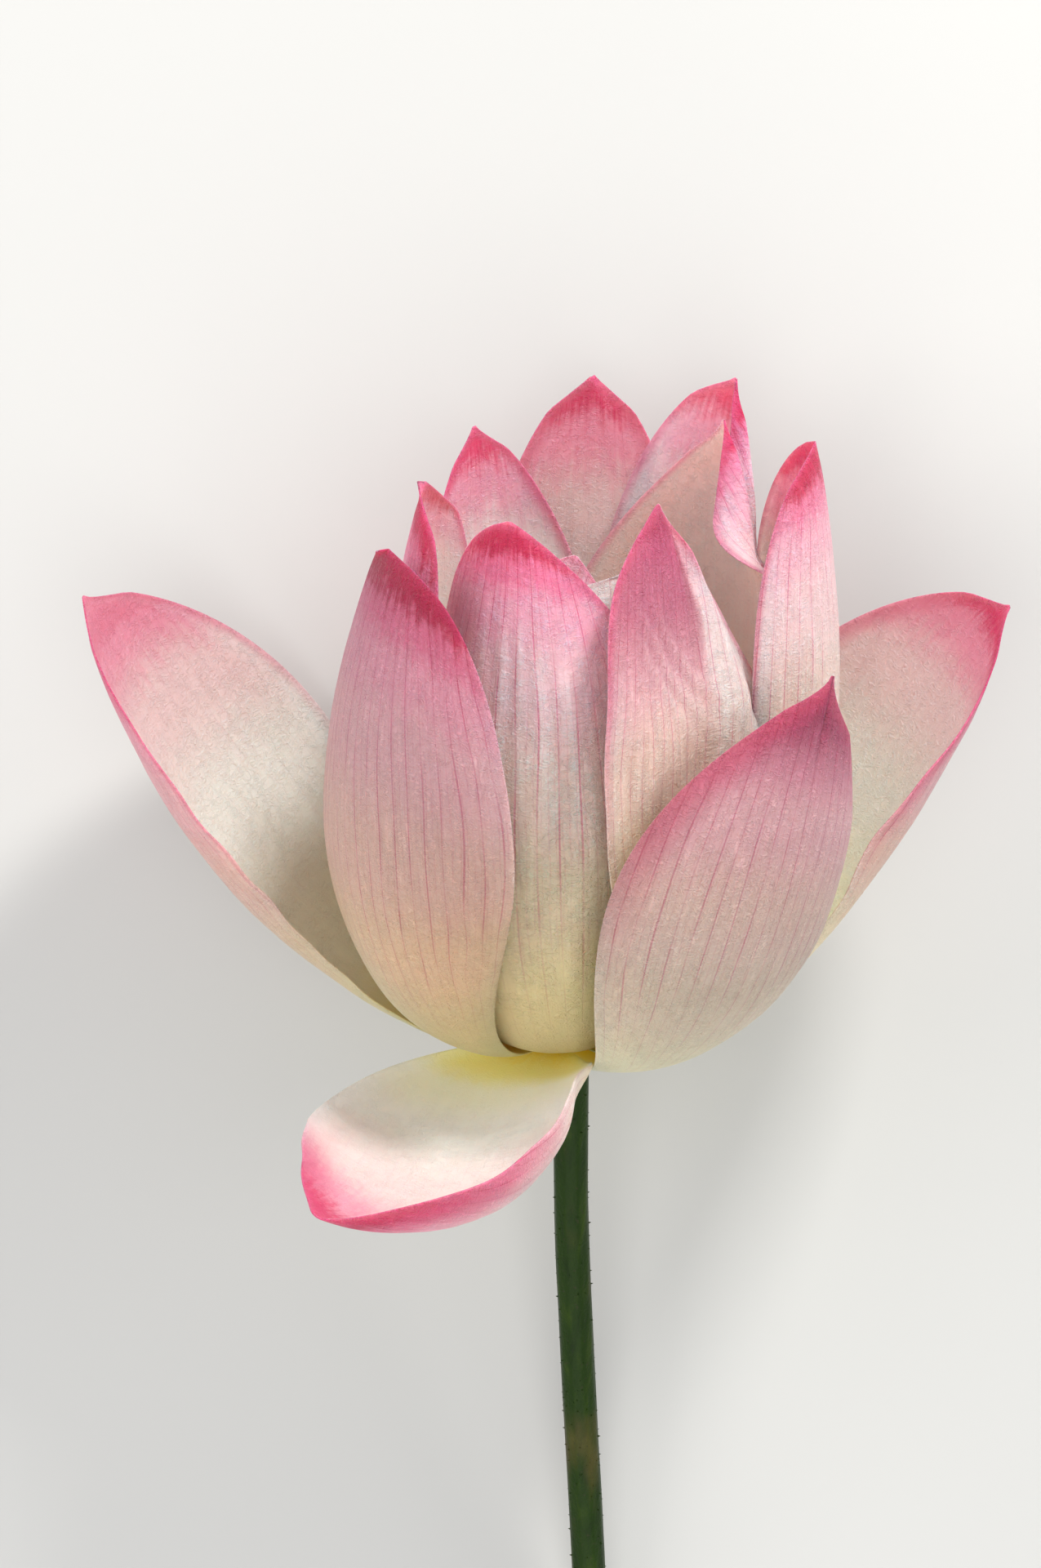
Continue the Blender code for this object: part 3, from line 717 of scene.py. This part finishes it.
def relief(petal, seed, across, along, offset, length):  # pleats, buckles and waves
    rows, columns = across.shape
    deep = np.zeros((rows, columns))
    for i in range(rows):
        body = math.sin(math.pi * min(1.0, along[i] * 1.05)) ** 0.6
        crisp = 0.35 + 0.65 * smoothStep((along[i] - 0.3) / 0.4)
        y = along[i] * length
        for j in range(columns):
            x = offset[i, j]
            edge = across[i, j] ** 4
            pleat = ripple(petalStyle["pleatSize"], x, y, seed)
            buckle = ripple(petalStyle["buckleSize"], x, y, seed + 7.3)
            wave = ripple(petalStyle["waveSize"], across[i, j], y, seed + 3.1)
            pleat = pleat * petal["pleats"] * crisp * (1.0 - edge)
            buckle = buckle * petal["pleats"] * petalStyle["buckleDepth"]
            deep[i, j] = (pleat + buckle) * body + wave * petal["wave"] * edge * body
    return deep


def creases(petal, across, along):  # each ridge runs straight from one place across the petal to another
    raised = np.zeros_like(across)
    ridgeHighlightMask = np.zeros_like(across)
    for start, end, width, height, low, high in petal["ridges"]:
        line = (start + (end - start) * along)[:, None]
        reach = smoothStep((along - low) / 0.12) * smoothStep((high - along) / 0.05)
        ridge = np.clip(1.0 - np.abs(across - line) / width, 0.0, 1.0) * reach[:, None]
        raised += height * ridge
        if 0.0 < height < 1.0:  # small ones get a painted highlight
            ridgeHighlightMask = np.maximum(ridgeHighlightMask, ridge)
    height, middle = petal["swell"]
    reach = smoothStep(along / 0.45) * smoothStep((1.0 - along) / 0.5)
    raised += height * smoothStep((0.85 - np.abs(across - middle)) / 0.55) * reach[:, None]
    return raised, ridgeHighlightMask


def petalColours(petal, across, down, ridgeHighlightMask):
    tint = np.broadcast_to((petal["outer"], petal["inner"], petal["deepest"]), (*across.shape, 3))
    toRight = smoothStep(across * 2.0 + 0.5)
    rimShare = petal["rim"][0] * (1.0 - toRight) + petal["rim"][1] * toRight
    # painted light and shade: the tone scales each petal's colour, and the foot's own scale makes it
    # lighter or darker towards the foot
    tone = petal["tone"] * (petal["paintedFootLight"] + (1.0 - petal["paintedFootLight"]) * smoothStep(down / 0.6))
    rim = np.stack([rimShare, np.full_like(across, petal["rim"][2]), tone], axis=-1)
    # painted shade: a dark wash left of a slanted line across the petal, from low along
    paintedShadeShare, start, end, low = petal["dusk"]
    dusk = paintedShadeShare * smoothStep((start + (end - start) * down - across) / 0.12)
    dusk = dusk * smoothStep((down - low) / 0.2)
    # a pale wash, partly the petal's own paler colour and partly painted light
    paleAndPaintedLightShare, low, high, start = petal["pale"]
    pale = paleAndPaintedLightShare * smoothStep((down - low) / 0.25) * smoothStep((high - down) / 0.3)
    # painted highlight on the small ridges
    pale = np.maximum(pale * smoothStep((across - start) / 0.2), petalStyle["ridgeHighlight"] * ridgeHighlightMask)
    wash = np.stack([np.full_like(across, petal["warm"]), pale, dusk], axis=-1)
    return {"petalTint": tint, "petalRim": rim, "petalWash": wash}


def makePetal(petal, push, seed):
    rows, columns = petalStyle["rows"], petalStyle["columns"]
    sheet, halfWidth, length = petalSheet(petal, rows, columns, fine=True)
    along = np.linspace(0.0, 1.0, rows)
    across = np.tile(np.linspace(-1.0, 1.0, columns), (rows, 1))
    sideWidth = np.where(across < 0.0, halfWidth[:, :1], halfWidth[:, 1:])
    offset = across * sideWidth  # in millimetres
    rays = raysFromHeart(sheet)[1]
    sheet = sheet + rays * refine(push, rows, columns)[..., None]
    raised, ridgeHighlightMask = creases(petal, across, along)
    raised += relief(petal, seed, across, along, offset, length)
    sheet = sheet + sheetNormals(sheet) * raised[..., None]
    hooked = smoothStep((along - 0.95) / 0.05) ** 2
    sheet = sheet + np.array(petal["hook"], dtype=float) * hooked[:, None, None]
    laid = layDown(sheet)
    floor = petalStyle["thick"] / 2.0 * lying["scale"]
    laid[..., 2] = np.maximum(laid[..., 2], floor)  # pressed flat where it lies on the table

    mesh = bmesh.new()
    bmesh.ops.create_grid(mesh, x_segments=columns - 1, y_segments=rows - 1, size=1.0)
    places = []
    for vertex in mesh.verts:
        column = round((vertex.co.x + 1.0) / 2.0 * (columns - 1))
        row = round((vertex.co.y + 1.0) / 2.0 * (rows - 1))
        vertex.co = laid[row, column]
        places.append((row, column))
    words = petal["node"].split("_")
    name = words[0] + "".join(word.title() for word in words[1:])
    piece = finishPiece(name, mesh, (petalOutside, petalInside), petal["node"])

    at = tuple(np.array(places).T)
    past = np.clip((along - petal["widest"]) / (1.0 - petal["widest"]), 0.0, 1.0)
    widest = sideWidth[np.searchsorted(along, petal["widest"])]
    fan = widest * (1.0 - 0.5 * past**2)[:, None]
    fan = np.where((along < petal["widest"])[:, None], np.maximum(sideWidth, 1.0), fan)
    veinPlace = offset / fan * petal["width"] / 2.0 / petalStyle["veinGap"] + round(seed) * 7
    down = np.tile(along[:, None], (1, columns))
    edge = np.minimum((1.0 - np.abs(across)) * sideWidth, (1.0 - down) * length)
    painted = {
        "petalPlace": np.stack([across, down, veinPlace], axis=-1),
        "petalSize": np.stack([offset + seed * 50.0, down * length, edge], axis=-1),
        **petalColours(petal, across, down, ridgeHighlightMask),
    }
    for label, values in painted.items():
        stored = piece.data.attributes.new(label, "FLOAT_VECTOR", "POINT")
        stored.data.foreach_set("vector", np.ascontiguousarray(values[at], dtype=np.float32).ravel())
    margin = petalStyle["marginThin"]
    thick = margin + (1.0 - margin) * smoothStep(edge / petalStyle["marginReach"])
    weights = piece.vertex_groups.new(name="thick")
    for index, (row, column) in enumerate(places):
        weights.add([index], float(thick[row, column]), "REPLACE")
    thickness = piece.modifiers.new("thickness", "SOLIDIFY")
    thickness.thickness = petalStyle["thick"] * lying["scale"]
    thickness.offset = 0.0
    thickness.vertex_group = "thick"
    thickness.material_offset = 1
    thickness.material_offset_rim = 0
    return piece


petals = [{**petalDefaults, **petal} for petal in petals]
for index, (petal, push) in enumerate(zip(petals, nestPushes())):
    makePetal(petal, push, 1.0 + 2.37 * index)
print("petals done:", len(petals))


def makeGreenMaterial(name, stops, roughness, scale, bumpDepth):
    material, tree, shader = newMaterial(name, roughness)
    place = addNode(tree, "ShaderNodeTexCoord").outputs["Object"]
    patches = noised(tree, place, scale, 4.0, 0.6)
    colour = ramp(tree, patches, stops)
    fill(tree, shader.inputs["Base Color"], colour)
    grain = noised(tree, place, scale * 9.0, 3.0, 0.6)
    addBump(tree, shader, grain, bumpDepth)
    setInputs(shader, {"Subsurface Weight": 0.15, "Subsurface Scale": 0.001})
    return material


coneMaterial = makeGreenMaterial("seedCone", receptacle["colours"], 0.5, 220.0, 0.0002)
stigmaMaterial = makeGreenMaterial("stigma", receptacle["stigmaColours"], 0.35, 500.0, 0.0001)


def makeReceptacle():
    cone = receptacle
    profile = [
        (0.0, cone["foot"]),
        *((footRadius(height), height) for height in np.linspace(cone["foot"], 1.0, 9)),
        (cone["core"], cone["neck"]),
        *((cone["radius"] * share, cone["top"] - below) for share, below in cone["side"]),
    ]
    mesh = bmesh.new()
    spinProfile(mesh, profile, cone["steps"])
    for vertex in mesh.verts:  # shallow ribs down the cone
        turn = math.atan2(vertex.co.y, vertex.co.x)
        high = smoothStep((vertex.co.z - cone["neck"]) / 12.0) * (vertex.co.z < cone["top"] - 1.0)
        swell = 1.0 + cone["ribDepth"] * math.sin(turn * cone["ribs"]) * high
        vertex.co.x *= swell
        vertex.co.y *= swell
    middle = (0.0, 0.0, cone["top"] - 0.1)
    for spot in [spot for ring, count in cone["rings"] for spot in ringSpots(middle, ring, count)]:
        collar = bmesh.ops.create_cone(
            mesh, cap_ends=True, segments=20, radius1=cone["stigma"] * 1.7, radius2=cone["stigma"] * 1.25,
            depth=0.7, matrix=Matrix.Translation(spot),
        )
        raised = Matrix.Translation(spot + Vector((0, 0, 0.35)))
        knob = bmesh.ops.create_uvsphere(
            mesh, u_segments=16, v_segments=10, radius=cone["stigma"],
            matrix=raised @ Matrix.Diagonal((1.0, 1.0, 1.15, 1.0)),
        )
        for face in {face for vertex in knob["verts"] for face in vertex.link_faces}:
            face.material_index = 1
        for vertex in knob["verts"]:  # a dimple in the top of each stigma
            out = math.hypot(vertex.co.x - spot.x, vertex.co.y - spot.y)
            vertex.co.z -= 0.9 * math.exp(-((out / 0.45) ** 2)) * (vertex.co.z > spot.z + 0.9)
        rim = [edge for edge in {e for v in collar["verts"] for e in v.link_edges}
               if all(v.co.z > spot.z for v in edge.verts)]
        bmesh.ops.bevel(mesh, geom=rim, offset=0.18, segments=2, profile=0.5, affect="EDGES", material=-1)
    layMesh(mesh)
    return finishPiece("seedCone", mesh, (coneMaterial, stigmaMaterial), "receptacle")


makeReceptacle()
print("receptacle done")

stamens = {
    "count": 210,
    "whorls": 4,
    "root": 7.3,
    "foot": 12.6,
    "length": 24.0,
    "leans": (20.0, 25.0, 31.0, 36.0),
    "sides": 6,
    "rings": 14,
    "filament": 0.22,
    "anther": 0.52,
    "club": 0.46,
    "antherAt": (0.42, 0.8),
    "clubAt": 0.85,
    "clubless": 0.3,
    "collarWidth": 1.6,
    "collarSteps": 48,
    "seed": 11,
    "colours": (
        (0.0, (0.86, 0.8, 0.5)), (0.42, (0.9, 0.86, 0.66)),
        (0.48, (0.86, 0.56, 0.08)), (0.8, (0.9, 0.62, 0.12)),
        (0.86, (0.9, 0.88, 0.78)), (1.0, (0.92, 0.9, 0.84)),
    ),
}


def makeStamenMaterial():
    material, tree, shader = newMaterial("stamen", 0.55)
    part = split(tree, attribute(tree, "stamenPart"))
    colour = ramp(tree, part[0], stamens["colours"])
    fill(tree, shader.inputs["Base Color"], colour)
    place = addNode(tree, "ShaderNodeTexCoord").outputs["Object"]
    addBump(tree, shader, noised(tree, place, 2600.0), 0.00012)
    return material


def makeStamens():
    rng = np.random.default_rng(stamens["seed"])
    thin, anther = stamens["filament"], stamens["anther"]
    antherFrom, antherTo = stamens["antherAt"]
    mesh = bmesh.new()
    parts = []
    inside = receptacle["core"] + 0.3
    outside = inside + stamens["collarWidth"]
    profile = ((inside, 11.6), (outside, 11.8), (outside, 14.6), (inside + 0.9, 15.0), (inside, 15.0))
    spinProfile(mesh, profile, stamens["collarSteps"], closed=True)
    parts.extend([0.2] * len(mesh.verts))
    for index in range(stamens["count"]):
        whorl = index % stamens["whorls"]
        turn = 2.0 * math.pi * (index + rng.uniform(-0.3, 0.3)) / stamens["count"]
        lean = math.radians(stamens["leans"][whorl] + rng.uniform(-3.0, 3.0))
        length = stamens["length"] * rng.uniform(0.88, 1.04)
        sway = rng.uniform(-0.07, 0.07)
        club = 0.0 if whorl == 3 and rng.uniform() < stamens["clubless"] else 1.0
        made = bmesh.ops.create_grid(
            mesh, x_segments=stamens["sides"], y_segments=stamens["rings"], size=1.0
        )
        for vertex in made["verts"]:
            share = (vertex.co.y + 1.0) / 2.0
            angle = (vertex.co.x + 1.0) * math.pi
            girth = thin
            girth += (anther - thin) * smoothStep((share - antherFrom) / 0.06)
            girth += (thin - anther) * smoothStep((share - antherTo) / 0.04)
            girth += (stamens["club"] - thin) * smoothStep((share - stamens["clubAt"]) / 0.06) * club
            girth *= math.sqrt(max(0.0, 1.0 - ((share - 0.95) / 0.05) ** 2)) if share > 0.95 else 1.0
            out = stamens["root"] + length * share * math.sin(lean) * (0.6 + 0.4 * share)
            out += girth * math.cos(angle)
            aside = girth * math.sin(angle) * 0.8
            up = stamens["foot"] + 0.5 * whorl + length * share * math.cos(lean)
            bearing = turn + sway * share
            parts.append(share)
            vertex.co = (
                out * math.cos(bearing) - aside * math.sin(bearing),
                out * math.sin(bearing) + aside * math.cos(bearing),
                up,
            )
    part = mesh.verts.layers.float_vector.new("stamenPart")
    for vertex, share in zip(mesh.verts, parts):
        vertex[part] = (share, 0.0, 0.0)
    bmesh.ops.remove_doubles(mesh, verts=mesh.verts, dist=0.004)
    bmesh.ops.holes_fill(mesh, edges=openEdges(mesh), sides=stamens["sides"] + 1)
    layMesh(mesh)
    return finishPiece("stamenRing", mesh, (makeStamenMaterial(),), "stamens")


makeStamens()
print("stamens done")

stem = {
    "route": ((5.2, -0.6, -150), (3.6, 0, -112), (1.4, 0, -70), (0.1, 0, -38), (0, 0, -5.7)),
    "radius": 3.4,
    "sides": 48,
    "rings": 150,
    "neck": 3.72,
    "neckReach": 3.0,
    "prickles": 260,
    "prickle": 0.42,
    "canals": ((0.0, 1, 0.35), (1.25, 4, 0.62), (2.35, 8, 0.38)),  # ring radius, number, canal radius
    "canalDepth": 3.0,
    "canalSides": 14,
    "seed": 5,
    "colours": (
        (0.25, (0.007, 0.021, 0.001)), (0.5, (0.012, 0.034, 0.001)),
        (0.75, (0.026, 0.054, 0.002)),
    ),
    "warmColour": (0.16, 0.1, 0.035, 1.0),
    "speckColour": (0.03, 0.035, 0.012, 1.0),
    "cutColours": ((0.3, (0.36, 0.42, 0.16)), (0.7, (0.56, 0.6, 0.32))),
}


def makeStemMaterial():
    material, tree, shader = newMaterial("stemSkin", 0.5)
    place = addNode(tree, "ShaderNodeTexCoord").outputs["Object"]
    along = stretched(tree, place, (420.0, 24.0, 420.0))
    streaks = noised(tree, along, 1.0, 4.0, 0.6)
    colour = ramp(tree, streaks, stem["colours"])
    warm = ranged(tree, noised(tree, stretched(tree, place, (90.0, 30.0, 90.0)), 1.0, 3.0), 0.52, 0.72)
    colour = mixed(tree, product(tree, warm, 0.45), colour, stem["warmColour"])
    specks = ranged(tree, noised(tree, place, 900.0), 0.66, 0.72)
    colour = mixed(tree, product(tree, specks, 0.6), colour, stem["speckColour"])
    fill(tree, shader.inputs["Base Color"], colour)
    height = sums(tree, "ADD", streaks, product(tree, noised(tree, place, 1500.0, 3.0), 0.5))
    addBump(tree, shader, height, 0.0003)
    setInputs(shader, {"Specular IOR Level": 0.2})
    return material


def routePoint(share):  # a smooth curve through the route's points
    points = [np.array(point, dtype=float) for point in stem["route"]]
    heights = np.array([point[2] for point in points])
    height = heights[0] + (heights[-1] - heights[0]) * share
    span = min(int(np.searchsorted(heights, height, side="right")) - 1, len(points) - 2)
    t = (height - heights[span]) / (heights[span + 1] - heights[span])
    before, after = points[max(span - 1, 0)], points[min(span + 2, len(points) - 1)]
    start, end = points[span], points[span + 1]
    step = (end - before) / max(end[2] - before[2], 1e-6) * (end[2] - start[2])
    stepEnd = (after - start) / max(after[2] - start[2], 1e-6) * (end[2] - start[2])
    bent = (
        (2 * t**3 - 3 * t**2 + 1) * start
        + (t**3 - 2 * t**2 + t) * step
        + (3 * t**2 - 2 * t**3) * end
        + (t**3 - t**2) * stepEnd
    )
    return np.array([bent[0], bent[1], height])


def makeStem():
    top, bottom = stem["route"][-1][2], stem["route"][0][2]
    mesh = bmesh.new()
    bmesh.ops.create_grid(mesh, x_segments=stem["sides"], y_segments=stem["rings"], size=1.0)
    for vertex in mesh.verts:
        share = (vertex.co.y + 1.0) / 2.0
        turn = (vertex.co.x + 1.0) * math.pi
        centre = routePoint(share)
        neck = smoothStep((centre[2] - (top - stem["neckReach"])) / stem["neckReach"])
        radius = stem["radius"] + (stem["neck"] - stem["radius"]) * neck**2
        facing = Vector((math.cos(turn), math.sin(turn), centre[2] / 14.0))
        radius *= 1.0 + 0.015 * math.sin(turn * 9.0) + 0.02 * noise.noise(facing)
        vertex.co = (centre[0] + radius * math.cos(turn), centre[1] + radius * math.sin(turn), centre[2])
    bmesh.ops.remove_doubles(mesh, verts=mesh.verts, dist=0.004)
    ends = openEdges(mesh)
    topEdges = [edge for edge in ends if edge.verts[0].co.z > top - 0.01]
    bmesh.ops.holes_fill(mesh, edges=topEdges, sides=stem["sides"] + 1)
    rim = [edge for edge in ends if edge.verts[0].co.z < bottom + 0.01]
    canalEdges = []
    for ring, count, radius in stem["canals"]:  # the air canals that the cut end shows
        for spot in ringSpots(routePoint(0.0), ring, count, 0.5):
            loop = bmesh.ops.create_circle(
                mesh, segments=stem["canalSides"], radius=radius, matrix=Matrix.Translation(spot)
            )
            canalEdges.extend({edge for vertex in loop["verts"] for edge in vertex.link_edges})
    cut = bmesh.ops.triangle_fill(mesh, use_beauty=True, use_dissolve=False, edges=rim + canalEdges)
    walls = bmesh.ops.extrude_edge_only(mesh, edges=canalEdges)
    for item in cut["geom"] + walls["geom"]:
        if isinstance(item, bmesh.types.BMFace):
            item.material_index = 1
        elif isinstance(item, bmesh.types.BMVert):
            item.co.z += stem["canalDepth"]
    bmesh.ops.holes_fill(mesh, edges=openEdges(mesh), sides=stem["canalSides"])
    rng = np.random.default_rng(stem["seed"])
    for _ in range(stem["prickles"]):
        share = rng.uniform(0.01, 0.95)
        turn = rng.uniform(0.0, 2.0 * math.pi)
        size = stem["prickle"] * rng.uniform(0.5, 1.2)
        out = Vector((math.cos(turn), math.sin(turn), 0.15))
        spot = Vector(routePoint(share)) + out.normalized() * (stem["radius"] + size * 0.35)
        place = Matrix.Translation(spot) @ out.to_track_quat("Z", "Y").to_matrix().to_4x4()
        bmesh.ops.create_cone(mesh, cap_ends=True, segments=7, radius1=size * 0.55, radius2=size * 0.08,
                              depth=size * 1.3, matrix=place)
    layMesh(mesh)
    cutMaterial = makeGreenMaterial("stemCut", stem["cutColours"], 0.6, 700.0, 0.0002)
    return finishPiece("flowerStem", mesh, (makeStemMaterial(), cutMaterial), "stem")


makeStem()
print("stem done")

studio = {
    "floorColour": (0.58, 0.59, 0.58, 1.0),
    "floorSize": 6.0,
    "floorHeight": -0.0003,
    "skyColour": (0.92, 0.95, 1.0, 1.0),
    "sky": 0.42,
    "lights": (  # name, place, size, watts, colour
        ("key", (0.42, 1.08, 0.56), 0.22, 15.5, (1.0, 0.97, 0.92)),
        ("front", (0.0, -0.22, 1.15), 0.9, 5.5, (1.0, 0.97, 0.95)),
        ("fill", (-0.9, 0.25, 0.7), 0.8, 6.0, (1.0, 0.94, 0.9)),
        ("side", (1.0, 0.3, 0.38), 0.6, 3.2, (1.0, 0.96, 0.94)),
        ("foot", (-0.1, -1.0, 0.55), 0.8, 2.4, (1.0, 0.96, 0.9)),
    ),
    "aim": (0.0, 0.03, 0.05),
    "cameraPlace": (-10.0, -785.0, 337.1),  # in the upright flower's millimetres
    "cameraAim": (-10.0, 16.5, 45.4),
    "lens": 100.0,
}


def makeFloor():
    mesh = bmesh.new()
    bmesh.ops.create_grid(mesh, x_segments=1, y_segments=1, size=studio["floorSize"] / 2.0)
    material, _, shader = newMaterial("floorPaper", 0.8)
    setInputs(shader, {"Base Color": studio["floorColour"]})
    floor = placeInScene("floor", meshData("floor", mesh, (material,)))
    floor.location.z = studio["floorHeight"]


def makeLights():
    world = bpy.data.worlds.new("studio")
    world.use_nodes = True
    sky = world.node_tree.nodes["Background"]
    setInputs(sky, {"Color": studio["skyColour"], "Strength": studio["sky"]})
    bpy.context.scene.world = world
    for name, place, size, watts, colour in studio["lights"]:
        light = bpy.data.lights.new(name, "AREA")
        light.energy = watts
        light.size = size
        light.color = colour
        lamp = placeInScene(name, light)
        lamp.location = place
        lamp.rotation_euler = (Vector(studio["aim"]) - Vector(place)).to_track_quat("-Z", "Y").to_euler()


def makeCamera():  # it looks at the flower's front, which is nearly straight down here
    place = Vector(layDown(studio["cameraPlace"]))
    aim = Vector(layDown(studio["cameraAim"]))
    ahead = (aim - place).normalized()
    right = Vector((1.0, 0.0, 0.0))
    up = right.cross(ahead)
    turned = Matrix((right, up, -ahead)).transposed().to_4x4()
    data = bpy.data.cameras.new("camera")
    data.lens = studio["lens"]
    camera = placeInScene("camera", data)
    camera.matrix_world = Matrix.Translation(place) @ turned
    bpy.context.scene.camera = camera


makeFloor()
makeLights()
makeCamera()
bpy.context.scene.view_settings.view_transform = "Standard"
print("studio done")
